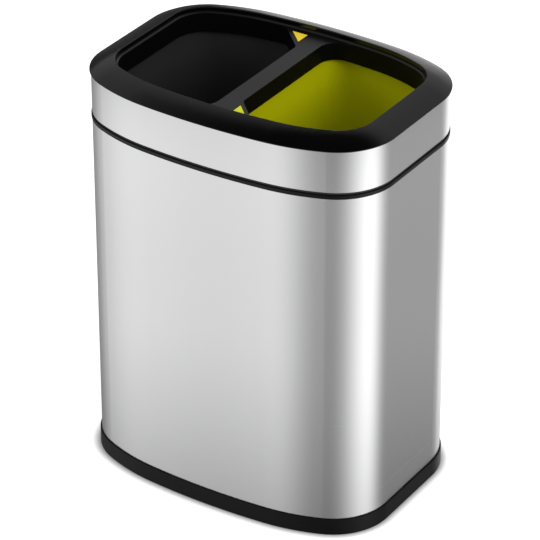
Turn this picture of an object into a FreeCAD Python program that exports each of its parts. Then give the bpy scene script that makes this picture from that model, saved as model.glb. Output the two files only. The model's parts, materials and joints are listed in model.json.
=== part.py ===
import FreeCAD, Part
import math
import os
import Sketcher

# Double recycling bin: a straight-walled steel body on a moulded base, a lift-off cover with a
# domed ring, a bridge and two openings, and two lift-out buckets with bails.
# The origin is on the floor under the middle, +X to the right bucket, +Y to the back, +Z up.

doc = FreeCAD.newDocument("double_bin")
near_enough = 1e-4  # mm between two points that count as one

# ---------------------------------------------------------------- driving sizes, in mm and degrees
DRIVING = {
    # plan of the body, three radii a side and straight ends
    "body_length": 335.0,
    "body_depth": 243.0,
    "bow_radius": 740.0,
    "bow_half_angle": 5.37,
    "shoulder_radius": 205.0,
    "corner_radius": 63.0,
    # body and base
    "sheet_wall": 0.8,
    "seat_gap": 0.3,
    "body_top": 382.4,
    "shell_flange": 12.0,
    "base_height": 17.9,
    "base_proud": 1.6,
    "base_edge_round": 0.8,
    "base_wall": 1.3,
    "base_skirt": 3.1,
    "base_lift": 0.3,
    "base_underside": 5.5,
    "base_floor": 3.0,
    "rib_wall": 2.0,
    "rib_lift": 1.6,
    "rib_pitch": 40.0,
    "foot_radius": 11.0,
    "foot_height": 4.0,
    "foot_fit": 0.2,
    "foot_cup_wall": 2.0,
    "foot_end_inset": 45.4,
    "foot_side_inset": 54.2,
    "foot_bow_inset": 25.3,
    "locator_length": 140.0,
    "locator_height": 8.0,
    "locator_fit": 0.7,
    # trim on the body's top edge
    "trim_height": 4.2,
    "trim_proud": 0.8,
    "trim_wall": 1.6,
    "trim_leg": 14.0,
    "trim_edge_round": 0.7,
    # cover
    "shadow_gap": 2.6,
    "band_height": 43.2,
    "band_fit": 0.3,
    "lip_proud": 1.5,
    "lip_height": 0.9,
    "crown_radius": 88.0,
    "crown_rise": 11.0,
    "crest_round": 1.1,
    "throat_inset": 24.1,
    "throat_drop": 2.4,
    "ring_wall": 2.0,
    "ring_haunch": 1.5,
    "vault_drop": 2.6,
    "retainer_width": 11.5,
    "retainer_lip": 2.0,
    "retainer_height": 4.3,
    "plug_depth": 11.0,
    "plug_fit": 0.5,
    "plug_wall": 2.0,
    # frame of the two openings
    "frame_fit": 0.2,
    "frame_wall": 1.4,
    "bridge_width": 20.2,
    "bridge_rise": 3.0,
    "bridge_plate": 2.2,
    "upstand": 3.4,
    "upstand_run": 1.1,
    "upstand_bevel": 1.4,
    "skirt_drop": 18.6,
    "opening_corner": 19.0,
    "slanted_corner": 9.0,
    "opening_chamfer": 31.1,
    "hook_length": 14.0,
    "hook_height": 2.0,
    "hook_reach": 1.6,
    "beam_rib_drop": 4.7,
    "badge_leg": 19.2,
    "badge_thickness": 0.4,
    "badge_bridge_margin": 3.0,
    "badge_bow_margin": 3.7,
    # buckets and bails
    "bucket_wall": 1.8,
    "bucket_floor": 2.4,
    "bucket_play": 2.7,
    "bucket_gap": 1.2,
    "bucket_corner": 24.0,
    "bucket_draft": 9.0,
    "rim_drop": 13.7,
    "rim_width": 4.0,
    "rim_thickness": 2.2,
    "rim_lip_drop": 6.0,
    "rim_lip_wall": 1.6,
    "lug_width": 12.0,
    "pivot_rise": 4.8,
    "stud_radius": 2.0,
    "stud_fit": 0.05,
    "eye_radius": 4.4,
    "bail_fit": 0.3,
    "bail_width": 3.3,
    "bail_height": 3.4,
    "grip_length": 64.0,
    "grip_height": 9.0,
    # screws
    "fixing_inset": 9.0,
    "fixing_end_pitch": 60.0,
    "fixing_bow_pitch": 100.0,
    "screw_radius": 1.45,
    "screw_length": 12.0,
    "screw_head_radius": 3.0,
    "screw_head_height": 2.2,
    "screw_fit": 0.05,
    "boss_radius": 3.4,
    "boss_height": 18.0,
}

sheet = doc.addObject("Spreadsheet::Sheet", "sizes")
for row, (alias, number) in enumerate(DRIVING.items(), start=1):
    sheet.set("A%d" % row, alias)
    sheet.set("B%d" % row, str(number))
    sheet.setAlias("B%d" % row, alias)
doc.recompute()


class Size:
    """A size that knows both its number and the expression that ties it to the sheet."""

    def __init__(self, value, text=None):
        self.value = float(value)
        self.text = repr(float(value)) if text is None else text

    def join(self, other, sign, value):
        return Size(value, "(%s %s %s)" % (self.text, sign, other.text))

    def __add__(self, other):
        other = as_size(other)
        return self.join(other, "+", self.value + other.value)

    def __sub__(self, other):
        other = as_size(other)
        return self.join(other, "-", self.value - other.value)

    def __mul__(self, other):
        other = as_size(other)
        return self.join(other, "*", self.value * other.value)

    def __truediv__(self, other):
        other = as_size(other)
        return self.join(other, "/", self.value / other.value)

    def __neg__(self):
        return Size(-self.value, "(0 - %s)" % self.text)

    def __rsub__(self, other):
        return as_size(other) - self

    __radd__ = __add__
    __rmul__ = __mul__


def as_size(number):
    return number if isinstance(number, Size) else Size(number)


def sine(angle):
    return Size(math.sin(math.radians(angle.value)), "sin(%s)" % angle.text)


def root(square):
    return Size(math.sqrt(square.value), "sqrt(%s)" % square.text)


def size(alias):
    return Size(float(sheet.get(alias)), "sizes.%s" % alias)


# ---------------------------------------------------------------- levels and insets worked out
half_length = size("body_length") / 2
half_depth = size("body_depth") / 2
sheet_wall = size("sheet_wall")
seat_gap = size("seat_gap")
floor_top = size("base_underside") + size("base_floor")
shell_bottom = floor_top + seat_gap
trim_top = size("body_top") + size("trim_height")
trim_inner = sheet_wall + seat_gap + size("trim_wall")
band_bottom = trim_top + size("shadow_gap")
band_top = band_bottom + size("band_height")
crest_top = band_top + size("crown_rise")
bridge_top = band_top + size("bridge_rise")
plate_under = bridge_top - size("bridge_plate")
throat_bottom = band_top - size("throat_drop")
leg_outer = sheet_wall + size("band_fit")
leg_inner = leg_outer + size("ring_wall")
retainer_bottom = trim_top + seat_gap
retainer_top = retainer_bottom + size("retainer_height")
leg_bottom = retainer_top + seat_gap
frame_outer = size("throat_inset") + size("frame_fit")
wall_inset = frame_outer + size("frame_wall")
opening_inset = wall_inset + size("upstand_run")
bridge_half = size("bridge_width") / 2
skirt_bottom = bridge_top - size("skirt_drop")
rim_top = bridge_top - size("rim_drop")
rim_inset = frame_outer - size("bucket_play") - size("bucket_wall")
centre_face = size("bucket_gap") / 2 + size("rim_width")
pivot_level = rim_top + size("pivot_rise")
bucket_bottom = floor_top + seat_gap


# ---------------------------------------------------------------- plan outlines
def polar(centre, radius, angle):
    turn = math.radians(angle)
    return centre[0] + radius * math.cos(turn), centre[1] + radius * math.sin(turn)


def outline_radii():
    return [size(name).value for name in ("bow_radius", "shoulder_radius", "corner_radius")]


def shoulder_angle():
    """Angle from the bow's axis at which a shoulder meets its corner."""
    bow, shoulder, corner = outline_radii()
    lean = math.radians(size("bow_half_angle").value)
    reach = half_length.value - corner - (bow - shoulder) * math.sin(lean)
    return math.degrees(math.asin(reach / (shoulder - corner)))


def quarter_centres():
    """Centres of the bow, shoulder and corner arcs of the front right quarter."""
    bow, shoulder, corner = outline_radii()
    bow_centre = (0.0, bow - half_depth.value)
    shoulder_centre = polar(bow_centre, bow - shoulder, 270 + size("bow_half_angle").value)
    corner_centre = polar(shoulder_centre, shoulder - corner, 270 + shoulder_angle())
    return bow_centre, shoulder_centre, corner_centre


def arc(centre, radius, start, end, role):
    return {"kind": "arc", "centre": centre, "radius": radius, "start": start, "end": end, "role": role}


def line(start, end, role):
    return {"kind": "line", "start": start, "end": end, "role": role}


def mirrored_x(edge):
    if edge["kind"] == "arc":
        centre = (-edge["centre"][0], edge["centre"][1])
        return arc(centre, edge["radius"], 180 - edge["end"], 180 - edge["start"], edge["role"])
    flip = [(-point[0], point[1]) for point in (edge["end"], edge["start"])]
    return line(flip[0], flip[1], edge["role"])


def mirrored_y(edge):
    if edge["kind"] == "arc":
        centre = (edge["centre"][0], -edge["centre"][1])
        return arc(centre, edge["radius"], -edge["end"], -edge["start"], edge["role"])
    flip = [(point[0], -point[1]) for point in (edge["end"], edge["start"])]
    return line(flip[0], flip[1], edge["role"])


def right_side(inset):
    """Front right shoulder and corner, the straight end and the back right corner and shoulder."""
    bow_centre, shoulder_centre, corner_centre = quarter_centres()
    lean, turn = size("bow_half_angle").value, shoulder_angle()
    shoulder = arc(shoulder_centre, size("shoulder_radius") - inset, 270 + lean, 270 + turn, "shoulder")
    corner = arc(corner_centre, size("corner_radius") - inset, 270 + turn, 360, "corner")
    end_x = half_length.value - inset.value
    end = line((end_x, corner_centre[1]), (end_x, -corner_centre[1]), "end")
    return [shoulder, corner, end, mirrored_y(corner), mirrored_y(shoulder)]


def full_outline(inset):
    """Closed outline of the body at an inset, anticlockwise from the front bow."""
    lean = size("bow_half_angle").value
    front = arc(quarter_centres()[0], size("bow_radius") - inset, 270 - lean, 270 + lean, "bow")
    right = right_side(inset)
    left = [mirrored_x(edge) for edge in reversed(right)]
    return [front] + right + [mirrored_y(front)] + left


def bow_corner(inset, centre_x, radius):
    """Small arc that joins the front bow to the line x = centre_x, on the right of that line."""
    bow_centre = quarter_centres()[0]
    bow = size("bow_radius").value - inset.value
    x = centre_x.value + radius.value
    y = bow_centre[1] - math.sqrt((bow - radius.value) ** 2 - x ** 2)
    meet = 360 + math.degrees(math.atan2(y - bow_centre[1], x - bow_centre[0]))
    return [arc((x, y), radius, 180, meet, "small")], meet


def chamfer_corner(inset, centre_x, radius, leg):
    """Slanted corner at the front bow: round, straight at 45 degrees, round."""
    bow_centre = quarter_centres()[0]
    bow = size("bow_radius").value - inset.value
    front_y = inset.value - half_depth.value
    foot = (centre_x.value, front_y + leg.value)
    slant = math.sqrt(0.5)
    # a line parallel to the slant, one radius inside, carries both arcs' centres
    on_line = (foot[0] + radius.value * slant, foot[1] + radius.value * slant)
    first_step = (centre_x.value + radius.value - on_line[0]) / slant
    first = (on_line[0] + first_step * slant, on_line[1] - first_step * slant)
    across, along = on_line[0] - bow_centre[0], on_line[1] - bow_centre[1]
    half_b = slant * (across - along)
    rest = across ** 2 + along ** 2 - (bow - radius.value) ** 2
    second_step = -half_b + math.sqrt(half_b ** 2 - rest)
    second = (on_line[0] + second_step * slant, on_line[1] - second_step * slant)
    meet = 360 + math.degrees(math.atan2(second[1] - bow_centre[1], second[0] - bow_centre[0]))
    upper = arc(first, radius, 180, 225, "small")
    lower = arc(second, radius, 225, meet, "small")
    slope = line(polar(first, radius.value, 225), polar(second, radius.value, 225), "chamfer")
    return [upper, slope, lower], meet


def half_outline(inset, centre_x, front_radius, back_radius, front_leg=None, back_leg=None):
    """Closed outline of the body's right half at an inset, cut off at the line x = centre_x."""
    lean = size("bow_half_angle").value
    bow_centre = quarter_centres()[0]
    bow = size("bow_radius") - inset
    corners = []
    for radius, leg in ((front_radius, front_leg), (back_radius, back_leg)):
        if leg is None:
            edges, meet = bow_corner(inset, centre_x, radius)
        else:
            edges, meet = chamfer_corner(inset, centre_x, radius, leg)
        corners.append((edges, arc(bow_centre, bow, meet, 270 + lean, "bow")))
    front_corner, front_bow = corners[0]
    back_corner, back_bow = corners[1]
    back = [mirrored_y(back_bow)] + [mirrored_y(edge) for edge in reversed(back_corner)]
    top = edge_point(back[-1], True)
    bottom = edge_point(front_corner[0], False)
    centre = line(top, bottom, "centre")
    return front_corner + [front_bow] + right_side(inset) + back + [centre]


def edge_point(edge, at_end):
    if edge["kind"] == "line":
        return edge["end"] if at_end else edge["start"]
    return polar(edge["centre"], edge["radius"].value, edge["end"] if at_end else edge["start"])


# ---------------------------------------------------------------- sketches
def new_body(label):
    body = doc.addObject("PartDesign::Body", label)
    body.Label = label
    return body


def new_sketch(body, name, level, plane="XY_Plane"):
    sketch = body.newObject("Sketcher::SketchObject", name)
    support = [datum for datum in body.Origin.OriginFeatures if datum.Role == plane][0]
    sketch.AttachmentSupport = (support, [""])
    sketch.MapMode = "FlatFace"
    sketch.AttachmentOffset = FreeCAD.Placement(FreeCAD.Vector(0, 0, level.value), FreeCAD.Rotation())
    sketch.setExpression("AttachmentOffset.Base.z", level.text)
    return sketch


def bound(sketch, kind, *places, to):
    """Add a dimension and tie it to the sheet."""
    index = sketch.addConstraint(Sketcher.Constraint(kind, *places, to.value))
    sketch.setExpression("Constraints[%d]" % index, to.text)


def place_point(sketch, index, end, x, y):
    bound(sketch, "DistanceX", -1, 1, index, end, to=x)
    bound(sketch, "DistanceY", -1, 1, index, end, to=y)


def draw_outline(sketch, edges, inset, centre_x=None, front_leg=None, back_leg=None, side=1):
    """Draw a chain of tangent arcs and lines, then constrain it to the sheet."""
    if side < 0:
        edges = [mirrored_x(edge) for edge in reversed(edges)]
    indices = []
    for edge in edges:
        if edge["kind"] == "arc":
            centre = FreeCAD.Vector(edge["centre"][0], edge["centre"][1], 0)
            circle = Part.Circle(centre, FreeCAD.Vector(0, 0, 1), edge["radius"].value)
            shape = Part.ArcOfCircle(circle, math.radians(edge["start"]), math.radians(edge["end"]))
        else:
            shape = Part.LineSegment(FreeCAD.Vector(*edge["start"], 0), FreeCAD.Vector(*edge["end"], 0))
        indices.append(sketch.addGeometry(shape, False))
    for here, there in zip(indices, indices[1:] + indices[:1]):
        sketch.addConstraint(Sketcher.Constraint("Tangent", here, 2, there, 1))
    bow_centre_y = size("bow_radius") - half_depth
    half_span = (size("bow_radius") - inset) * sine(size("bow_half_angle"))
    for index, edge in zip(indices, edges):
        role = edge["role"]
        if edge["kind"] == "arc":
            bound(sketch, "Radius", index, to=edge["radius"])
        if role == "bow":
            front = edge["centre"][1] > 0
            sketch.addConstraint(Sketcher.Constraint("PointOnObject", index, 3, -2))
            bound(sketch, "DistanceY", -1, 1, index, 3, to=bow_centre_y if front else -bow_centre_y)
            start_x, end_x = (edge_point(edge, at_end)[0] for at_end in (False, True))
            for end, x in ((1, start_x), (2, end_x)):
                if abs(abs(x) - half_span.value) < near_enough:
                    bound(sketch, "DistanceX", -1, 1, index, end, to=half_span if x > 0 else -half_span)
        elif role == "end":
            sketch.addConstraint(Sketcher.Constraint("Vertical", index))
            reach = half_length - inset
            bound(sketch, "DistanceX", -1, 1, index, 1, to=reach if edge["start"][0] > 0 else -reach)
        elif role == "centre":
            sketch.addConstraint(Sketcher.Constraint("Vertical", index))
            bound(sketch, "DistanceX", -1, 1, index, 1, to=centre_x if side > 0 else -centre_x)
        elif role == "chamfer":
            y = inset - half_depth + front_leg if front_leg else half_depth - inset - back_leg
            x = centre_x if side > 0 else -centre_x
            point = sketch.addGeometry(Part.Point(FreeCAD.Vector(x.value, y.value, 0)), True)
            place_point(sketch, point, 1, x, y)
            sketch.addConstraint(Sketcher.Constraint("PointOnObject", point, 1, index))
            slope = math.atan2(edge["end"][1] - edge["start"][1], edge["end"][0] - edge["start"][0])
            sketch.addConstraint(Sketcher.Constraint("Angle", index, slope))
    return indices


def outline_sketch(body, name, level, *insets):
    """One or two nested outlines of the body at a level."""
    sketch = new_sketch(body, name, level)
    for inset in insets:
        inset = as_size(inset)
        draw_outline(sketch, full_outline(inset), inset)
    return sketch


def half_sketch(body, name, level, side, rings):
    """Nested half outlines; each ring is (inset, centre_x, front radius, back radius[, legs])."""
    sketch = new_sketch(body, name, level)
    for inset, centre_x, front_radius, back_radius, *legs in rings:
        edges = half_outline(inset, centre_x, front_radius, back_radius, *legs)
        draw_outline(sketch, edges, inset, centre_x, *legs, side=side)
    return sketch


def draw_polygon(sketch, points, arcs=None):
    """Closed chain of lines through tied points; arcs maps an edge's number to its radius."""
    arcs = arcs or {}
    count = len(points)
    indices = []
    for number, (x, y) in enumerate(points):
        next_x, next_y = points[(number + 1) % count]
        start = FreeCAD.Vector(x.value, y.value, 0)
        end = FreeCAD.Vector(next_x.value, next_y.value, 0)
        if number in arcs:
            radius, bulge = arcs[number]
            chord = end - start
            middle = (start + end) * 0.5
            normal = FreeCAD.Vector(-chord.y, chord.x, 0).normalize()
            height = math.sqrt(radius.value ** 2 - chord.Length ** 2 / 4)
            centre = middle + normal * height * bulge
            shape = Part.Arc(start, centre + (middle - centre).normalize() * radius.value, end)
        else:
            shape = Part.LineSegment(start, end)
        indices.append(sketch.addGeometry(shape, False))
    ends = [ends_in_order(sketch, index, point) for index, point in zip(indices, points)]
    for number, (index, (x, y)) in enumerate(zip(indices, points)):
        follower = (number + 1) % count
        place_point(sketch, index, ends[number][0], x, y)
        places = (index, ends[number][1], indices[follower], ends[follower][0])
        sketch.addConstraint(Sketcher.Constraint("Coincident", *places))
        if number in arcs:
            bound(sketch, "Radius", index, to=arcs[number][0])


def ends_in_order(sketch, index, start):
    """Numbers of an edge's first and last point: an arc's own order is always anticlockwise."""
    corner = FreeCAD.Vector(start[0].value, start[1].value, 0)
    return (1, 2) if sketch.getPoint(index, 1).distanceToPoint(corner) < near_enough else (2, 1)


def draw_rectangle(sketch, low_x, low_y, high_x, high_y):
    draw_polygon(sketch, [(low_x, low_y), (high_x, low_y), (high_x, high_y), (low_x, high_y)])


def draw_circle(sketch, x, y, radius):
    circle = Part.Circle(FreeCAD.Vector(x.value, y.value, 0), FreeCAD.Vector(0, 0, 1), radius.value)
    index = sketch.addGeometry(circle, False)
    place_point(sketch, index, 3, x, y)
    bound(sketch, "Radius", index, to=radius)


# ---------------------------------------------------------------- features
def extrude(body, kind, sketch, length, reverse=False, both=False):
    feature = body.newObject("PartDesign::%s" % kind, "%s_%s" % (sketch.Name, kind.lower()))
    feature.Profile = sketch
    feature.Length = length.value
    feature.setExpression("Length", length.text)
    feature.Reversed = reverse
    feature.Midplane = both
    body.Tip = feature
    return feature


def pad(body, sketch, length, reverse=False, both=False):
    """Add material above a level sketch, or along the plane's own normal."""
    return extrude(body, "Pad", sketch, length, reverse, both)


def pocket(body, sketch, length, upwards=True, both=False):
    """Cut a level sketch upwards or downwards; a pocket's own way is against the normal."""
    doc.recompute()
    before = body.Shape.Volume
    feature = extrude(body, "Pocket", sketch, length, upwards, both)
    doc.recompute()
    if before - body.Shape.Volume < near_enough:
        raise ValueError("%s removes nothing" % feature.Name)
    return feature


def loft(body, kind, first, second):
    feature = body.newObject("PartDesign::%s" % kind, "%s_%s" % (first.Name, kind.lower()))
    feature.Profile = first
    feature.Sections = [second]
    feature.Ruled = True
    body.Tip = feature
    return feature


def round_edges(body, radius, level):
    """Fillet the edges round the outside of the body's level face."""
    doc.recompute()
    tip = body.Tip
    flat = [face for face in tip.Shape.Faces if abs(face.BoundBox.ZMin - level.value) < near_enough
            and face.BoundBox.ZLength < near_enough]
    outside = flat[0].OuterWire.Edges
    feature = body.newObject("PartDesign::Fillet", "%s_round" % tip.Name)
    feature.Base = (tip, ["Edge%d" % number for number, edge in enumerate(tip.Shape.Edges, start=1)
                          if any(edge.isSame(other) for other in outside)])
    feature.Radius = radius.value
    feature.setExpression("Radius", radius.text)
    body.Tip = feature
    return feature


# ---------------------------------------------------------------- fixing points
def bow_sag(x, inset):
    radius = size("bow_radius") - inset
    return radius - root(radius * radius - x * x)


def fixing_points(inset):
    """Two screws on each straight end and two on each bow."""
    points = []
    end_x = half_length - inset
    end_y = size("fixing_end_pitch") / 2
    bow_x = size("fixing_bow_pitch") / 2
    bow_y = half_depth - inset - bow_sag(bow_x, inset)
    for across in (1, -1):
        for along in (1, -1):
            points.append((end_x * across, end_y * along, "end"))
            points.append((bow_x * across, bow_y * along, "bow"))
    return points


# ---------------------------------------------------------------- body shell, trim and base
def build_body_shell():
    body = new_body("body_shell")
    wall = outline_sketch(body, "shell_plan", shell_bottom, 0, sheet_wall)
    pad(body, wall, size("body_top") - seat_gap - shell_bottom)
    flange = outline_sketch(body, "shell_flange_plan", shell_bottom, sheet_wall / 2, size("shell_flange"))
    pad(body, flange, sheet_wall)
    holes = new_sketch(body, "shell_holes", shell_bottom)
    for x, y, _ in fixing_points(size("fixing_inset")):
        draw_circle(holes, x, y, size("screw_radius") + size("screw_fit"))
    pocket(body, holes, sheet_wall * 2)
    return body


def build_body_top_trim():
    body = new_body("body_top_trim")
    cap = outline_sketch(body, "trim_cap_plan", size("body_top"), -size("trim_proud"), trim_inner)
    pad(body, cap, size("trim_height"))
    round_edges(body, size("trim_edge_round"), trim_top)
    leg_level = size("body_top") - size("trim_leg")
    leg = outline_sketch(body, "trim_leg_plan", leg_level, sheet_wall + seat_gap, trim_inner)
    pad(body, leg, size("trim_leg"))
    return body


def spread(count):
    """Steps of one, centred on nought."""
    return [number - (count - 1) / 2 for number in range(count)]


def build_base_pan():
    body = new_body("base_pan")
    proud = -size("base_proud")
    block = outline_sketch(body, "base_plan", size("base_lift"), proud)
    pad(body, block, size("base_height") - size("base_lift"))
    round_edges(body, size("base_edge_round"), size("base_height"))
    tray = outline_sketch(body, "base_tray", floor_top, proud + size("base_wall"))
    pocket(body, tray, size("base_height") - floor_top)
    under = outline_sketch(body, "base_under", size("base_lift"), proud + size("base_skirt"))
    pocket(body, under, size("base_underside") - size("base_lift"))
    rib_height = size("base_underside") - size("rib_lift")
    half_rib = size("rib_wall") / 2
    cross_ribs = new_sketch(body, "base_cross_ribs", size("rib_lift"))
    for step in spread(4):
        x = size("rib_pitch") * step
        reach = half_depth - bow_sag(x, as_size(0))
        draw_rectangle(cross_ribs, x - half_rib, -reach, x + half_rib, reach)
    pad(body, cross_ribs, rib_height)
    long_ribs = new_sketch(body, "base_long_ribs", size("rib_lift"))
    for step in spread(3):
        y = size("rib_pitch") * step
        draw_rectangle(long_ribs, -half_length, y - half_rib, half_length, y + half_rib)
    pad(body, long_ribs, rib_height)
    cup_level = size("base_lift") + seat_gap
    cups = new_sketch(body, "foot_cups", cup_level)
    sockets = new_sketch(body, "foot_sockets", cup_level)
    socket_radius = size("foot_radius") + size("foot_fit")
    for x, y in foot_points():
        draw_circle(cups, x, y, socket_radius + size("foot_cup_wall"))
        draw_circle(sockets, x, y, socket_radius)
    pad(body, cups, size("base_underside") - cup_level)
    pocket(body, sockets, size("foot_height") + size("foot_fit") - cup_level)
    foot_centre = centre_face + size("bucket_draft") - size("locator_fit")
    locator = new_sketch(body, "locator_plan", floor_top)
    reach = size("locator_length") / 2
    draw_rectangle(locator, -foot_centre, -reach, foot_centre, reach)
    wall = size("rib_wall")
    draw_rectangle(locator, wall - foot_centre, wall - reach, foot_centre - wall, reach - wall)
    pad(body, locator, size("locator_height"))
    holes = new_sketch(body, "base_holes", size("base_underside"))
    for x, y, _ in fixing_points(size("fixing_inset")):
        draw_circle(holes, x, y, size("screw_radius") + size("screw_fit"))
    pocket(body, holes, size("base_floor"))
    return body


def foot_points():
    """One foot under each corner and one under the middle of each bow."""
    corner_x = half_length - size("foot_end_inset")
    corner_y = half_depth - size("foot_side_inset")
    middle_y = half_depth - size("foot_bow_inset")
    points = [(corner_x * across, corner_y * along) for across in (1, -1) for along in (1, -1)]
    return points + [(as_size(0), middle_y), (as_size(0), -middle_y)]


def build_base_feet():
    body = new_body("base_feet")
    body.AllowCompound = True
    pads = new_sketch(body, "feet_plan", as_size(0))
    for x, y in foot_points():
        draw_circle(pads, x, y, size("foot_radius"))
    pad(body, pads, size("foot_height"))
    return body


def build_screws(label, head_level):
    """Pan-head screws driven upwards at the fixing points, as one group."""
    body = new_body(label)
    body.AllowCompound = True
    heads = new_sketch(body, label + "_heads", head_level - size("screw_head_height"))
    shanks = new_sketch(body, label + "_shanks", head_level)
    for x, y, _ in fixing_points(size("fixing_inset")):
        draw_circle(heads, x, y, size("screw_head_radius"))
        draw_circle(shanks, x, y, size("screw_radius"))
    pad(body, heads, size("screw_head_height"))
    pad(body, shanks, size("screw_length"))
    return body


# ---------------------------------------------------------------- cover
def build_cover_band():
    body = new_body("cover_band")
    plan = outline_sketch(body, "band_plan", band_bottom, 0, sheet_wall)
    pad(body, plan, size("band_height"))
    return body


def build_cover_ring():
    """Domed ring swept along the body's outline, with an inner wall, a leg and screw bosses."""
    body = new_body("cover_ring")
    path = new_sketch(body, "ring_path", band_top)
    edges = full_outline(as_size(0))
    draw_outline(path, edges, as_size(0))
    section = new_sketch(body, "ring_section", as_size(0), "XZ_Plane")
    throat = half_length - size("throat_inset")
    lip_x = half_length + size("lip_proud")
    lip_level = band_top + seat_gap
    crest_x = throat + size("crest_round")
    wall_x = throat + size("ring_wall")
    leg_x = half_length - leg_inner
    outer_leg_x = half_length - leg_outer
    haunch = band_top + size("ring_haunch")
    points = [
        (lip_x, lip_level),
        (lip_x, lip_level + size("lip_height")),
        (crest_x, crest_top),
        (throat, crest_top - size("crest_round")),
        (throat, throat_bottom),
        (wall_x, throat_bottom),
        (wall_x, crest_top - size("vault_drop")),
        (leg_x, haunch),
        (leg_x, leg_bottom),
        (outer_leg_x, leg_bottom),
        (outer_leg_x, lip_level),
    ]
    crown, crest, vault = 1, 2, 6
    arcs = {
        crown: (size("crown_radius"), 1),
        crest: (size("crest_round"), 1),
        vault: (size("crown_radius") - size("ring_wall"), -1),
    }
    draw_polygon(section, points, arcs)
    ring = body.newObject("PartDesign::AdditivePipe", "ring_sweep")
    ring.Profile = section
    ring.Spine = path
    body.Tip = ring
    doc.recompute()
    bosses = new_sketch(body, "ring_bosses", leg_bottom)
    webs = new_sketch(body, "ring_webs", leg_bottom)
    pilots = new_sketch(body, "ring_pilots", leg_bottom)
    inset = size("fixing_inset")
    half_web = size("ring_wall") / 2
    reach = inset - leg_inner + size("ring_wall") / 2
    for x, y, where in fixing_points(inset):
        draw_circle(bosses, x, y, size("boss_radius"))
        draw_circle(pilots, x, y, size("screw_radius") + size("screw_fit"))
        outward = 1 if (x if where == "end" else y).value > 0 else -1
        if where == "end":
            near, far = (x, x + reach) if outward > 0 else (x - reach, x)
            draw_rectangle(webs, near, y - half_web, far, y + half_web)
        else:
            near, far = (y, y + reach) if outward > 0 else (y - reach, y)
            draw_rectangle(webs, x - half_web, near, x + half_web, far)
    pad(body, bosses, size("boss_height"))
    pad(body, webs, size("boss_height"))
    pocket(body, pilots, size("screw_length"))
    return body


def build_cover_retainer():
    """Ring under the band: it carries the band's edge and plugs into the body."""
    body = new_body("cover_retainer")
    inner = as_size(0) + size("retainer_width") + leg_outer
    lip = outline_sketch(body, "retainer_lip_plan", retainer_bottom, leg_outer / 2, inner)
    pad(body, lip, size("retainer_lip"))
    deck_level = retainer_bottom + size("retainer_lip")
    deck = outline_sketch(body, "retainer_deck_plan", deck_level, leg_outer, inner)
    pad(body, deck, size("retainer_height") - size("retainer_lip"))
    plug_outer = trim_inner + size("plug_fit")
    plug_level = retainer_bottom - size("plug_depth")
    plug = outline_sketch(body, "retainer_plug_plan", plug_level, plug_outer, plug_outer + size("plug_wall"))
    pad(body, plug, size("plug_depth"))
    holes = new_sketch(body, "retainer_holes", retainer_bottom)
    for x, y, _ in fixing_points(size("fixing_inset")):
        draw_circle(holes, x, y, size("screw_radius") + size("screw_fit"))
    pocket(body, holes, size("retainer_height"))
    return body


def opening_ring(side, grow):
    """Outline of an opening, grown outwards; the right one is slanted in front, the left behind."""
    inset = opening_inset - grow
    centre_x = bridge_half - grow
    plain = size("opening_corner") + grow
    slanted = size("slanted_corner") + grow
    leg = size("opening_chamfer") + as_size(grow) * (2 - math.sqrt(2))
    if side > 0:
        return inset, centre_x, slanted, plain, leg, None
    return inset, centre_x, plain, slanted, None, leg


def build_opening_frame():
    """Bridge, bevelled upstand and drop skirts around the two openings."""
    body = new_body("opening_frame")
    upstand_top = bridge_top + size("upstand")
    plate = outline_sketch(body, "frame_plate", plate_under, frame_outer)
    pad(body, plate, upstand_top - plate_under)
    bevel = size("upstand_bevel")
    well = outline_sketch(body, "upstand_well", bridge_top, opening_inset)
    pocket(body, well, size("upstand"))
    foot = outline_sketch(body, "bevel_foot", upstand_top - bevel, opening_inset)
    brim = outline_sketch(body, "bevel_brim", upstand_top, opening_inset - bevel)
    loft(body, "SubtractiveLoft", foot, brim)
    sides = ((1, "right"), (-1, "left"))
    for side, word in sides:
        ring = opening_ring(side, size("frame_wall"))
        skirt = half_sketch(body, "skirt_" + word, skirt_bottom, side, [ring])
        pad(body, skirt, plate_under - skirt_bottom)
    for side, word in sides:
        ring = opening_ring(side, as_size(0))
        hole = half_sketch(body, "opening_" + word, skirt_bottom, side, [ring])
        pocket(body, hole, bridge_top - skirt_bottom)
    ribs = new_sketch(body, "beam_ribs", plate_under - size("beam_rib_drop"))
    rib_x = bridge_half - size("frame_wall") / 2
    half_rib = size("ring_wall") / 2
    for step in spread(4):
        y = size("rib_pitch") * step
        draw_rectangle(ribs, -rib_x, y - half_rib, rib_x, y + half_rib)
    pad(body, ribs, size("beam_rib_drop"))
    # a low wall stands inside the ring's inner wall and carries the hooks that hold the frame
    hook_level = throat_bottom - seat_gap - size("hook_height")
    locating = outline_sketch(body, "locating_wall", hook_level, frame_outer, wall_inset)
    pad(body, locating, plate_under - hook_level)
    hooks = new_sketch(body, "frame_hooks", hook_level)
    half_hook = size("hook_length") / 2
    root_depth = size("frame_wall") / 2
    end_root = half_length - frame_outer - root_depth
    end_tip = half_length - frame_outer + size("hook_reach")
    draw_rectangle(hooks, end_root, -half_hook, end_tip, half_hook)
    draw_rectangle(hooks, -end_tip, -half_hook, -end_root, half_hook)
    half_pitch = size("fixing_bow_pitch") / 2
    bow_root = half_depth - frame_outer - bow_sag(half_pitch, frame_outer) - root_depth
    bow_tip = bow_root + root_depth + size("hook_reach")
    for x in (half_pitch, -half_pitch):
        draw_rectangle(hooks, x - half_hook, bow_root, x + half_hook, bow_tip)
        draw_rectangle(hooks, x - half_hook, -bow_tip, x + half_hook, -bow_root)
    pad(body, hooks, size("hook_height"))
    return body


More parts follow.
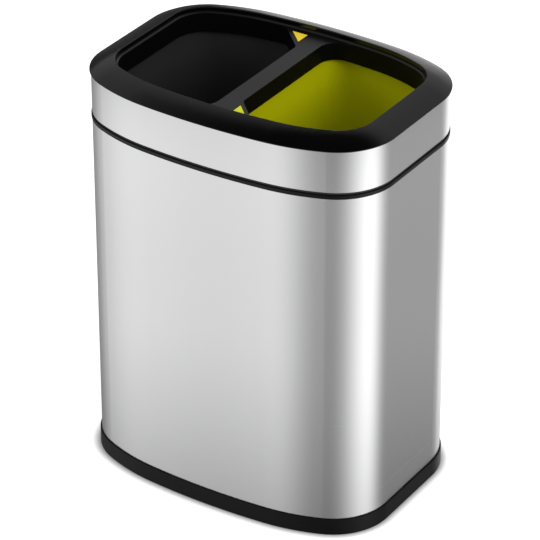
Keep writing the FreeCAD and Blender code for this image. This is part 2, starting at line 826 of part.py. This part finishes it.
def build_badge(label, side):
    """Flat triangle in the bridge's slanted corner: rear left or front right."""
    body = new_body(label)
    plan = new_sketch(body, label + "_plan", bridge_top)
    corner_x = (bridge_half + size("badge_bridge_margin")) * side
    corner_y = (half_depth - opening_inset - size("badge_bow_margin")) * -side
    leg = size("badge_leg") * side
    draw_polygon(plan, [(corner_x, corner_y), (corner_x + leg, corner_y), (corner_x, corner_y + leg)])
    pad(body, plan, size("badge_thickness"))
    return body


# ---------------------------------------------------------------- buckets and bails
def bucket_ring(level, grow):
    """Outline of the bucket's outer wall at a level, grown outwards."""
    slope = size("bucket_draft") / (rim_top - bucket_bottom)
    lean = (rim_top - level) * slope
    inset = rim_inset + lean - grow
    centre_x = centre_face + lean - grow
    radius = size("bucket_corner") + size("bucket_wall") - lean + grow
    return (inset, centre_x, radius, radius)


def wall_faces(side):
    """Outer faces of a bucket's centre wall and end wall at the rim, and which way they face."""
    return ("centre", centre_face * side, -side), ("end", (half_length - rim_inset) * side, side)


def build_bucket(label, side):
    body = new_body(label)
    wall = size("bucket_wall")

    def plan(word, level, *rings):
        return half_sketch(body, "%s_%s" % (label, word), level, side, rings)

    floor_level = bucket_bottom + size("bucket_floor")
    base = plan("foot", bucket_bottom, bucket_ring(bucket_bottom, as_size(0)))
    mouth = plan("mouth", rim_top, bucket_ring(rim_top, as_size(0)))
    loft(body, "AdditiveLoft", base, mouth)
    inner_base = plan("floor", floor_level, bucket_ring(floor_level, -wall))
    inner_mouth = plan("inner_mouth", rim_top, bucket_ring(rim_top, -wall))
    loft(body, "SubtractiveLoft", inner_base, inner_mouth)
    rim_edge = bucket_ring(rim_top, size("rim_width"))
    rim_level = rim_top - size("rim_thickness")
    rim = plan("rim", rim_level, rim_edge, bucket_ring(rim_top, -wall / 2))
    pad(body, rim, size("rim_thickness"))
    lip_inside = bucket_ring(rim_top, size("rim_width") - size("rim_lip_wall"))
    lip = plan("lip", rim_level - size("rim_lip_drop"), rim_edge, lip_inside)
    pad(body, lip, size("rim_lip_drop"))
    # a lug on the middle of the centre wall and of the end wall, each with a stud for the bail
    for word, face, outward in wall_faces(side):
        lug = new_sketch(body, "%s_lug_%s" % (label, word), face, "YZ_Plane")
        half_width = size("lug_width") / 2
        lug_top = pivot_level + size("eye_radius")
        lug_foot = rim_top - size("rim_thickness") / 2
        shoulder_level = lug_top - half_width / 2
        right = [(half_width, lug_foot), (half_width, shoulder_level), (half_width / 2, lug_top)]
        draw_polygon(lug, right + [(-y, z) for y, z in reversed(right)])
        pad(body, lug, wall, reverse=outward > 0)
        stud = new_sketch(body, "%s_stud_%s" % (label, word), face - wall / 2 * outward, "YZ_Plane")
        draw_circle(stud, as_size(0), pivot_level, size("stud_radius"))
        stud_length = wall / 2 + size("bail_fit") + size("bail_width")
        pad(body, stud, stud_length, reverse=outward < 0)
    return body


def build_bail(label, side):
    """Bail folded on the back half of the rim, with a grip and an eye on each stud."""
    body = new_body(label)
    level = rim_top + seat_gap
    near, far = size("bail_fit"), size("bail_fit") + size("bail_width")
    loop = half_sketch(body, label + "_loop", level, side,
                       [bucket_ring(rim_top, far), bucket_ring(rim_top, near)])
    pad(body, loop, size("grip_height"))
    front = new_sketch(body, label + "_front_cut", level)
    low, high = sorted((as_size(0), half_length * side), key=lambda s: s.value)
    draw_rectangle(front, low, -half_depth, high, as_size(0))
    pocket(body, front, size("grip_height"))
    arms = new_sketch(body, label + "_arm_cut", as_size(0), "XZ_Plane")
    middle = half_length / 2 * side
    arm_top, grip_top = level + size("bail_height"), level + size("grip_height") + seat_gap
    half_grip = size("grip_length") / 2
    slope = size("grip_height") - size("bail_height")
    for end, way in ((low, -1), (high, 1)):
        shoulder_x = middle + half_grip * way
        slope_top = (shoulder_x - slope * way, grip_top)
        draw_polygon(arms, [(end, arm_top), (shoulder_x, arm_top), slope_top, (end, grip_top)])
    pocket(body, arms, size("body_depth") * 2, both=True)
    for word, face, outward in wall_faces(side):
        eye = new_sketch(body, "%s_eye_%s" % (label, word), face + near * outward, "YZ_Plane")
        draw_circle(eye, as_size(0), pivot_level, size("eye_radius"))
        pad(body, eye, size("bail_width"), reverse=outward < 0)
    bore = new_sketch(body, label + "_bore", as_size(0), "YZ_Plane")
    draw_circle(bore, as_size(0), pivot_level, size("stud_radius") + size("stud_fit"))
    pocket(body, bore, size("body_length") * 2, both=True)
    return body


# ---------------------------------------------------------------- the whole bin
pieces = [
    build_body_shell(),
    build_body_top_trim(),
    build_base_pan(),
    build_base_feet(),
    build_screws("base_screws", size("base_underside")),
    build_cover_band(),
    build_cover_ring(),
    build_cover_retainer(),
    build_screws("cover_screws", retainer_bottom),
    build_opening_frame(),
    build_badge("badge_front", 1),
    build_badge("badge_rear", -1),
    build_bucket("bucket_black", -1),
    build_bucket("bucket_lime", 1),
    build_bail("bail_black", -1),
    build_bail("bail_lime", 1),
]
doc.recompute()

failed = [item.Name for item in doc.Objects if {"Invalid", "Error"} & set(item.State)]
failed += [piece.Label for piece in pieces if piece.Shape.isNull() or not piece.Shape.isValid()]
if failed:
    raise ValueError("failed: " + ", ".join(failed))

os.makedirs("parts", exist_ok=True)
for piece in pieces:
    piece.Shape.exportStep("parts/%s.step" % piece.Label)
    box = piece.Shape.BoundBox
    print("%-16s solids %2d faces %4d volume %9.1f z %.1f to %.1f" % (
        piece.Label, len(piece.Shape.Solids), len(piece.Shape.Faces), piece.Shape.Volume, box.ZMin, box.ZMax))
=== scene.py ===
import json
import math

import bmesh
import bpy
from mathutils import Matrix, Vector

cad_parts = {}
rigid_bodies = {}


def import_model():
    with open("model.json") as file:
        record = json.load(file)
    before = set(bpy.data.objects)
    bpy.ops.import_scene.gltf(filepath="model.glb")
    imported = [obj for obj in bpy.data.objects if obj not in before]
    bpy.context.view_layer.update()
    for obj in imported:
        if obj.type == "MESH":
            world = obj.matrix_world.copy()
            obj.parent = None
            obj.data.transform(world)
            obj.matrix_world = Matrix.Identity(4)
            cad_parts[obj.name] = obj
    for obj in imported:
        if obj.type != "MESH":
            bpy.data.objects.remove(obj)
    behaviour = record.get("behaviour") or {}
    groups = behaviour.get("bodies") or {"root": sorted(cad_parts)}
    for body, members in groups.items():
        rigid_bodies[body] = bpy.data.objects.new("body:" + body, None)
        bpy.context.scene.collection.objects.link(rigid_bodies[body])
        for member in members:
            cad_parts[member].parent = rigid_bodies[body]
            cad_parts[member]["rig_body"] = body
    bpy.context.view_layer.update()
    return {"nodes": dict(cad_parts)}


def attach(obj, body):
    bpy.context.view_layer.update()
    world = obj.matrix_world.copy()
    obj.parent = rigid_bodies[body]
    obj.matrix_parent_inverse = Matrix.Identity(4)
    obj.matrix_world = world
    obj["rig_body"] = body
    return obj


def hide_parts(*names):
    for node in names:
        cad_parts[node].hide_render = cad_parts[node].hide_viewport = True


# Double recycling bin in a light studio. Metres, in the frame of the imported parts:
# the floor is z = 0, +X points to the lime bucket and +Y to the back.

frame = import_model()
print("parts loaded:", len(frame["nodes"]))

mm = 0.001
black = (0, 0, 0)
white = (1, 1, 1)


class Value:
    # a socket that does its own maths: a + b, 1 - a, a * b and so on add Math nodes
    def __init__(self, finish, socket):
        self.finish = finish
        self.socket = socket

    def maths(self, operation, first, second):
        return self.finish.add("ShaderNodeMath", {"operation": operation}, {0: first, 1: second})

    def __add__(self, other):
        return self.maths("ADD", self, other)

    def __sub__(self, other):
        return self.maths("SUBTRACT", self, other)

    def __rsub__(self, other):
        return self.maths("SUBTRACT", other, self)

    def __mul__(self, other):
        return self.maths("MULTIPLY", self, other)

    def __truediv__(self, other):
        return self.maths("DIVIDE", self, other)

    def __pow__(self, other):
        return self.maths("POWER", self, other)

    __radd__ = __add__
    __rmul__ = __mul__

    def smaller(self, other):
        return self.maths("MINIMUM", self, other)

    def isBelow(self, limit):
        return self.maths("LESS_THAN", self, limit)


class Finish:
    # a material, or the world, under construction
    def __init__(self, name, owner=None):
        self.owner = owner or bpy.data.materials.new(name)
        self.owner.use_nodes = True
        self.tree = self.owner.node_tree
        self.shader = self.tree.nodes.get("Principled BSDF") or self.tree.nodes.get("Background")
        self.output = [node for node in self.tree.nodes if node.type.startswith("OUTPUT")][0]

    def put(self, socket, value):
        if isinstance(value, Value):
            self.tree.links.new(value.socket, socket)
        elif socket.type == "RGBA" and len(value) == 3:
            socket.default_value = (*value, 1)
        else:
            socket.default_value = value

    def add(self, kind, settings=None, inputs=None, output=0):
        node = self.tree.nodes.new(kind)
        for name, value in (settings or {}).items():
            if name == "stops":
                self.setStops(node.color_ramp, value)
            else:
                setattr(node, name, value)
        for name, value in (inputs or {}).items():
            self.put(node.inputs[name], value)
        return Value(self, node.outputs[output])

    def setStops(self, ramp, stops):
        while len(ramp.elements) < len(stops):
            ramp.elements.new(0.5)
        for element, (place, shade) in zip(ramp.elements, stops):
            element.position = place
            element.color = (shade, shade, shade, 1)

    def surface(self, **inputs):
        for name, value in inputs.items():
            self.put(self.shader.inputs[name.replace("_", " ")], value)

    def place(self, stretch=(1, 1, 1)):
        here = self.add("ShaderNodeTexCoord", output="Object")
        return self.add("ShaderNodeMapping", inputs={"Vector": here, "Scale": stretch})

    def axes(self, space):
        # x, y and z of a texture space
        vector = self.add("ShaderNodeTexCoord", output=space)
        split = self.add("ShaderNodeSeparateXYZ", inputs={"Vector": vector}).socket.node
        return [Value(self, socket) for socket in split.outputs]

    def noise(self, vector, scale, detail=2.0, roughness=0.5):
        inputs = {"Vector": vector, "Scale": scale, "Detail": detail, "Roughness": roughness}
        return self.add("ShaderNodeTexNoise", inputs=inputs, output="Fac")

    def ramp(self, factor, low, high, stops):
        # grey shades at places between low and high, looked up by a factor from 0 to 1
        stops = [((place - low) / (high - low), shade) for place, shade in stops]
        return self.add("ShaderNodeValToRGB", {"stops": stops}, {"Fac": factor})

    def blend(self, factor, first, second):
        inputs = {"Factor": factor, 6: first, 7: second}
        return self.add("ShaderNodeMix", {"data_type": "RGBA"}, inputs, output=2)

    def bump(self, height, distance):
        inputs = {"Height": height, "Distance": distance, "Strength": 1.0}
        return self.add("ShaderNodeBump", inputs=inputs)

    def uneven(self, pattern, look):
        # roughness that strays from a look's own by half its spread either way
        return (pattern - 0.5) * look["spread"] + look["roughness"]


# brushed steel of the sleeve and the cover's band: fine level streaks over broad clouds
steel = {
    "light": (0.728, 0.728, 0.732),
    "dark": (0.716, 0.716, 0.720),
    "roughness": 0.27,
    "spread": 0.02,
    "stretch": (1.6, 1.6, 1400),
    "streaks": {"scale": 1.0, "detail": 3.0, "roughness": 0.6},
    "streakShare": 0.8,
    "streakDepth": 0.00025 * mm,
    "clouds": {"scale": 6.0},
    "anisotropic": 0.75,
}


def brushedSteel(name):
    finish = Finish(name)
    streaks = finish.noise(finish.place(steel["stretch"]), **steel["streaks"])
    clouds = finish.noise(finish.place(), **steel["clouds"])
    pattern = streaks * steel["streakShare"] + clouds * (1 - steel["streakShare"])
    finish.surface(
        Base_Color=finish.blend(pattern, steel["dark"], steel["light"]),
        Roughness=finish.uneven(pattern, steel),
        Normal=finish.bump(streaks, steel["streakDepth"]),
        Metallic=1.0,
        Anisotropic=steel["anisotropic"],
    )
    return finish.owner


# moulded plastics: colour where it is smooth and where it is scuffed, gloss and grain
plastics = {
    "satinBlack": {
        "colour": (0.0008, 0.0008, 0.0009), "scuffed": (0.0014, 0.0014, 0.0015),
        "roughness": 0.17, "spread": 0.05, "level": 0.45, "grain": 900, "grainDepth": 0.01 * mm,
    },
    "bridgeBlack": {
        "colour": (0.0014, 0.0014, 0.0015), "scuffed": (0.0024, 0.0024, 0.0025),
        "roughness": 0.34, "spread": 0.05, "level": 0.45, "grain": 900, "grainDepth": 0.01 * mm,
    },
    # darker, duller copy of bridgeBlack for the opening frame's low walls: painted shade
    "paintedShadeSkirtBlack": {
        "colour": (0.0012, 0.0012, 0.0013), "scuffed": (0.002, 0.002, 0.0021),
        "roughness": 0.50, "spread": 0.05, "level": 0.12, "grain": 900, "grainDepth": 0.01 * mm,
    },
    "trimBlack": {
        "colour": (0.002, 0.002, 0.0021), "scuffed": (0.003, 0.003, 0.0031),
        "roughness": 0.40, "spread": 0.05, "level": 0.25, "grain": 800, "grainDepth": 0.01 * mm,
    },
    "baseBlack": {
        "colour": (0.004, 0.004, 0.0041), "scuffed": (0.006, 0.006, 0.0061),
        "roughness": 0.40, "spread": 0.06, "level": 0.13, "grain": 700, "grainDepth": 0.015 * mm,
    },
    "bucketBlack": {
        "colour": (0.024, 0.024, 0.0244), "scuffed": (0.028, 0.028, 0.0284),
        "roughness": 0.50, "spread": 0.06, "level": 0.3, "grain": 600, "grainDepth": 0.02 * mm,
    },
    "bucketLime": {
        "colour": (0.43, 0.436, 0.001), "scuffed": (0.455, 0.461, 0.002),
        "roughness": 0.55, "spread": 0.06, "level": 0.12, "grain": 600, "grainDepth": 0.02 * mm,
    },
    "hiddenBlack": {
        "colour": (0.016, 0.016, 0.0165), "scuffed": (0.022, 0.022, 0.0225),
        "roughness": 0.50, "spread": 0.06, "level": 0.5, "grain": 700, "grainDepth": 0.02 * mm,
    },
    "footRubber": {
        "colour": (0.022, 0.022, 0.023), "scuffed": (0.035, 0.035, 0.036),
        "roughness": 0.80, "spread": 0.08, "level": 0.3, "grain": 500, "grainDepth": 0.05 * mm,
    },
}
scuffs = {"scale": 14.0, "detail": 4.0, "roughness": 0.6}


def mouldedPlastic(name):
    look = plastics[name]
    finish = Finish(name)
    grain = finish.noise(finish.place(), look["grain"])
    scuffed = finish.noise(finish.place(), **scuffs)
    finish.surface(
        Base_Color=finish.blend(scuffed, look["colour"], look["scuffed"]),
        Roughness=finish.uneven(scuffed, look),
        Normal=finish.bump(grain, look["grainDepth"]),
        Specular_IOR_Level=look["level"],
    )
    return finish.owner


# zinc on the screws
zinc = {
    "light": (0.60, 0.60, 0.58),
    "dark": (0.42, 0.42, 0.41),
    "roughness": 0.38,
    "spread": 0.15,
    "mottle": {"scale": 500.0, "detail": 3.0},
}


def zincPlate(name):
    finish = Finish(name)
    mottle = finish.noise(finish.place(), **zinc["mottle"])
    finish.surface(
        Base_Color=finish.blend(mottle, zinc["dark"], zinc["light"]),
        Roughness=finish.uneven(mottle, zinc),
        Metallic=1.0,
    )
    return finish.owner


# coloured films on the bridge, each a triangle whose two legs run along X and Y, toward
# plus or minus from the corner where they meet
films = {
    "badge_front": {"colour": (0.56, 0.60, 0.004), "worn": (0.59, 0.63, 0.008), "toward": 1},
    "badge_rear": {"colour": (0.74, 0.54, 0.012), "worn": (0.77, 0.57, 0.018), "toward": -1},
}
filmLook = {
    "rim": (0.02, 0.02, 0.015),
    "rimWidth": 0.5 * mm,
    "cornerRadius": 1.5 * mm,
    "cornerSteps": 5,
    "levelWithin": 0.1 * mm,
    "roughness": 0.38,
    "spread": 0.06,
    "level": 0.35,
    "wear": {"scale": 400.0, "detail": 3.0},
}


def colouredFilm(node):
    # the rim is where the nearest of the three edges is close by
    film = films[node]
    corners = [vertex.co for vertex in frame["nodes"][node].data.vertices]
    pick = min if film["toward"] > 0 else max
    cornerX, cornerY = (pick(corner[axis] for corner in corners) for axis in (0, 1))
    leg = max(corner[0] for corner in corners) - min(corner[0] for corner in corners)
    finish = Finish(node + ".film")
    x, y, _ = finish.axes("Object")
    fromX = (x - cornerX) * film["toward"]
    fromY = (y - cornerY) * film["toward"]
    fromSlope = (leg - fromX - fromY) * math.sqrt(0.5)
    onRim = fromX.smaller(fromY).smaller(fromSlope).isBelow(filmLook["rimWidth"])
    wear = finish.noise(finish.place(), **filmLook["wear"])
    colour = finish.blend(wear, film["colour"], film["worn"])
    finish.surface(
        Base_Color=finish.blend(onRim, colour, filmLook["rim"]),
        Roughness=finish.uneven(wear, filmLook),
        Specular_IOR_Level=filmLook["level"],
    )
    return finish.owner


finishes = {name: mouldedPlastic(name) for name in plastics}
finishes["bodySteel"] = brushedSteel("bodySteel")
finishes["zincPlate"] = zincPlate("zincPlate")
for node in films:
    finishes[node] = colouredFilm(node)
print("finishes made:", len(finishes))

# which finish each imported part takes
partFinishes = {
    "body_shell": "bodySteel",
    "cover_band": "bodySteel",
    "base_screws": "zincPlate",
    "cover_screws": "zincPlate",
    "base_pan": "baseBlack",
    "base_feet": "footRubber",
    "cover_retainer": "hiddenBlack",
    "body_top_trim": "trimBlack",
    "cover_ring": "satinBlack",
    "opening_frame": "bridgeBlack",
    "bucket_black": "bucketBlack",
    "bucket_lime": "bucketLime",
    "bail_black": "bucketBlack",
    "bail_lime": "bucketLime",
    "badge_front": "badge_front",
    "badge_rear": "badge_rear",
}
for node, name in partFinishes.items():
    part = frame["nodes"][node]
    part.data.materials.clear()
    part.data.materials.append(finishes[name])


def newObject(name, data):
    holder = bpy.data.objects.new(name, data)
    bpy.context.scene.collection.objects.link(holder)
    return holder


def meshObject(name, mesh):
    data = bpy.data.meshes.new(name)
    mesh.to_mesh(data)
    mesh.free()
    return newObject(name, data)


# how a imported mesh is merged: points within the distance are one, and flat neighbours join
merging = {"distance": 0.002 * mm, "flat": math.radians(0.4)}


def mergedCopy(node):
    mesh = bmesh.new()
    mesh.from_mesh(frame["nodes"][node].data)
    bmesh.ops.remove_doubles(mesh, verts=mesh.verts, dist=merging["distance"])
    bmesh.ops.dissolve_limit(
        mesh, angle_limit=merging["flat"], verts=mesh.verts, edges=mesh.edges,
        use_dissolve_boundaries=False, delimit={"NORMAL"},
    )
    return mesh


def roundEdges(mesh, edges, width, steps):
    bmesh.ops.bevel(
        mesh, geom=edges, offset=width, offset_type="OFFSET", affect="EDGES",
        segments=steps, profile=0.5, material=-1, clamp_overlap=True,
    )


creaseAngle = math.radians(45)  # edges sharper than this aren't shaded smooth


def takePlace(node, mesh):
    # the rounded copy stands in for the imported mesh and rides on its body
    part = frame["nodes"][node]
    piece = meshObject(node + "Softened", mesh)
    for material in part.data.materials:
        piece.data.materials.append(material)
    piece.data.shade_smooth()
    piece.data.set_sharp_from_angle(angle=creaseAngle)
    shading = piece.modifiers.new("evenShading", "WEIGHTED_NORMAL")
    shading.keep_sharp = True
    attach(piece, part["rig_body"])
    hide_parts(node)


# mouldings with rounded edges, and how wide the rounding is
softened = {
    "opening_frame": 0.35 * mm,
    "cover_ring": 0.16 * mm,
    "bucket_black": 0.40 * mm,
    "bucket_lime": 0.40 * mm,
    "body_top_trim": 0.25 * mm,
}
rounding = {"steps": 2, "sharp": math.radians(28)}

# mouldings with a second finish on their upright walls below a height: a darker, duller copy of
# their own, as painted shade in the recess under the ring
paintedShadeWalls = {"opening_frame": {"finish": "paintedShadeSkirtBlack", "below": 434.6 * mm, "upright": 0.5}}


def paintShadeOnLowWalls(node, mesh):
    walls = paintedShadeWalls[node]
    frame["nodes"][node].data.materials.append(finishes[walls["finish"]])
    # low upright faces take the darker copy: painted shade
    for face in mesh.faces:
        low = face.calc_center_median().z < walls["below"]
        if low and abs(face.normal.z) < walls["upright"]:
            face.material_index = 1


def softenMoulding(node):
    mesh = mergedCopy(node)
    sharp = [
        edge for edge in mesh.edges
        if edge.is_manifold and edge.calc_face_angle() > rounding["sharp"]
    ]
    roundEdges(mesh, sharp, softened[node], rounding["steps"])
    if node in paintedShadeWalls:
        paintShadeOnLowWalls(node, mesh)
    takePlace(node, mesh)


def softenFilm(node):
    mesh = mergedCopy(node)
    upright = [
        edge for edge in mesh.edges
        if abs(edge.verts[0].co.z - edge.verts[1].co.z) > filmLook["levelWithin"]
    ]
    roundEdges(mesh, upright, filmLook["cornerRadius"], filmLook["cornerSteps"])
    takePlace(node, mesh)


for node in softened:
    softenMoulding(node)
for node in films:
    softenFilm(node)
print("edges softened on", len(softened) + len(films), "parts")

# white floor: it glows for the camera alone, and a painted shadow darkens its colour and glow
# where the base stands on it
floorLook = {
    "halfSize": 4.0,
    "colour": (0.82, 0.82, 0.82),
    "roughness": 0.9,
    "glow": 0.62,
    "paintedShadowReach": 10 * mm,
    "paintedShadowPower": 2.0,
    "paintedShadowSamples": 8,
}


def paleFloor():
    mesh = bmesh.new()
    bmesh.ops.create_grid(mesh, x_segments=1, y_segments=1, size=floorLook["halfSize"])
    floor = meshObject("floor", mesh)
    finish = Finish("paleFloor")
    seen = finish.add("ShaderNodeLightPath", output="Is Camera Ray")
    paintedShadowOpenness = finish.add(
        "ShaderNodeAmbientOcclusion", {"samples": floorLook["paintedShadowSamples"]},
        {"Distance": floorLook["paintedShadowReach"]}, output="AO",
    )
    # painted contact shadow: occlusion near the base darkens the floor's colour and glow
    clear = paintedShadowOpenness ** floorLook["paintedShadowPower"]
    finish.surface(
        Base_Color=finish.blend(clear, black, floorLook["colour"]),
        Roughness=floorLook["roughness"],
        Specular_IOR_Level=0.0,
        Emission_Color=finish.blend(seen * clear, black, white),
        Emission_Strength=floorLook["glow"],
    )
    floor.data.materials.append(finish.owner)
    floor.visible_glossy = False


# round paper tent that only reflections see. Its brightness goes round by compass angle,
# where 0 is -Y and 90 is +X, and is then scaled by height.
tent = {
    "radius": 0.62,
    "bottom": -1.1,
    "top": 0.60,
    "sides": 128,
    "around": [
        (-180, 1.9), (-150, 1.9), (-142, 0.26), (-112, 0.25), (-99, 0.27), (-88, 0.40),
        (-78, 0.60), (-68, 0.88), (-58, 1.07), (-40, 1.02), (-33, 0.96), (-26, 0.88),
        (-17, 0.91), (-10, 1.07), (-1, 1.20), (4.5, 0.97), (9, 0.62), (14, 0.41), (22, 0.31),
        (33, 0.275), (42, 0.37), (53, 0.58), (64, 1.00), (75, 1.40), (84, 1.70), (94, 1.68),
        (101, 1.14), (107, 0.66), (114, 0.37), (124, 0.31), (147, 0.34), (155, 1.5),
    ],
    "heights": [
        (-0.50, 0.46), (-0.38, 0.51), (-0.33, 0.60), (-0.23, 0.82), (-0.12, 1.0),
        (0.0, 1.0), (0.10, 1.06), (0.17, 1.06), (0.30, 0.40), (0.60, 0.40),
    ],
    "brightest": 2.0,
}


def tentPaper():
    finish = Finish("tentPaper")
    x, y, z = finish.axes("Object")
    turn = x.maths("ARCTAN2", x, y * -1) / (2 * math.pi) + 0.5
    shares = [(angle, shade / tent["brightest"]) for angle, shade in tent["around"]]
    around = finish.ramp(turn, -180, 180, shares)
    rise = (z - tent["bottom"]) / (tent["top"] - tent["bottom"])
    fade = finish.ramp(rise, tent["bottom"], tent["top"], tent["heights"])
    inputs = {"Color": around * fade, "Strength": tent["brightest"]}
    glow = finish.add("ShaderNodeEmission", inputs=inputs)
    finish.put(finish.output.inputs["Surface"], glow)
    finish.owner.cycles.emission_sampling = "NONE"
    return finish.owner


def reflectionTent():
    mesh = bmesh.new()
    depth = tent["top"] - tent["bottom"]
    bmesh.ops.create_cone(
        mesh, cap_ends=False, segments=tent["sides"],
        radius1=tent["radius"], radius2=tent["radius"], depth=depth,
    )
    bmesh.ops.translate(mesh, verts=mesh.verts, vec=(0, 0, tent["bottom"] + depth / 2))
    wall = meshObject("tent", mesh)
    wall.data.materials.append(tentPaper())
    wall.visible_camera = False
    wall.visible_diffuse = False
    wall.visible_shadow = False
    wall.visible_transmission = False


# sky: white to the camera, even in diffuse light, and in reflections grey by height
# above the horizon in degrees
sky = {
    "diffuse": (0.55, 0.55, 0.55),
    "heights": [
        (-90, 0.45), (0, 0.42), (12, 0.42), (30, 0.50),
        (50, 0.46), (57, 0.14), (62, 0.010), (90, 0.004),
    ],
}


def studioSky():
    world = bpy.data.worlds.new("studio")
    bpy.context.scene.world = world
    finish = Finish("studio", world)
    height = finish.axes("Generated")[2]
    angle = finish.add("ShaderNodeMath", {"operation": "ARCSINE"}, {0: height})
    reflected = finish.ramp(angle / math.pi + 0.5, -90, 90, sky["heights"])
    seen = finish.add("ShaderNodeLightPath", output="Is Camera Ray")
    glossy = finish.add("ShaderNodeLightPath", output="Is Glossy Ray")
    light = finish.blend(glossy, sky["diffuse"], reflected)
    finish.put(finish.shader.inputs["Color"], finish.blend(seen, light, white))


# square lamps that reflections don't show, in metres and watts
lamps = {
    "overhead": {"place": (0.2, 0.2, 1.9), "aim": (0, 0, 0.2), "size": 1.6, "power": 9},
    "rightFill": {"place": (1.5, -0.2, 1.3), "aim": (0, 0, 0.3), "size": 0.7, "power": 14},
    "frontFill": {"place": (-0.9, -1.5, 1.2), "aim": (0, 0, 0.3), "size": 0.6, "power": 5},
}


def pointAlong(holder, direction):
    holder.rotation_euler = direction.to_track_quat("-Z", "Y").to_euler()


def softLamp(name):
    lamp = lamps[name]
    light = bpy.data.lights.new(name, "AREA")
    light.shape = "SQUARE"
    light.size = lamp["size"]
    light.energy = lamp["power"]
    holder = newObject(name, light)
    holder.location = lamp["place"]
    pointAlong(holder, Vector(lamp["aim"]) - holder.location)
    holder.visible_glossy = False


# the photograph's camera: angles in degrees, lens and sensor in millimetres
camera = {
    "azimuth": 32.73,
    "height": 30.33,
    "distance": 3.191,
    "aim": (0, 0, 0.2136),
    "lens": 210.86,
    "sensor": 36,
}


def photoCamera():
    eye = bpy.data.cameras.new("camera")
    eye.lens = camera["lens"]
    eye.sensor_width = camera["sensor"]
    holder = newObject("camera", eye)
    turn, rise = math.radians(camera["azimuth"]), math.radians(camera["height"])
    level = math.cos(rise)
    back = Vector((math.sin(turn) * level, -math.cos(turn) * level, math.sin(rise)))
    holder.location = Vector(camera["aim"]) + back * camera["distance"]
    pointAlong(holder, -back)
    bpy.context.scene.camera = holder


paleFloor()
reflectionTent()
studioSky()
for name in lamps:
    softLamp(name)
photoCamera()
bpy.context.scene.view_settings.view_transform = "Standard"
print("studio ready")
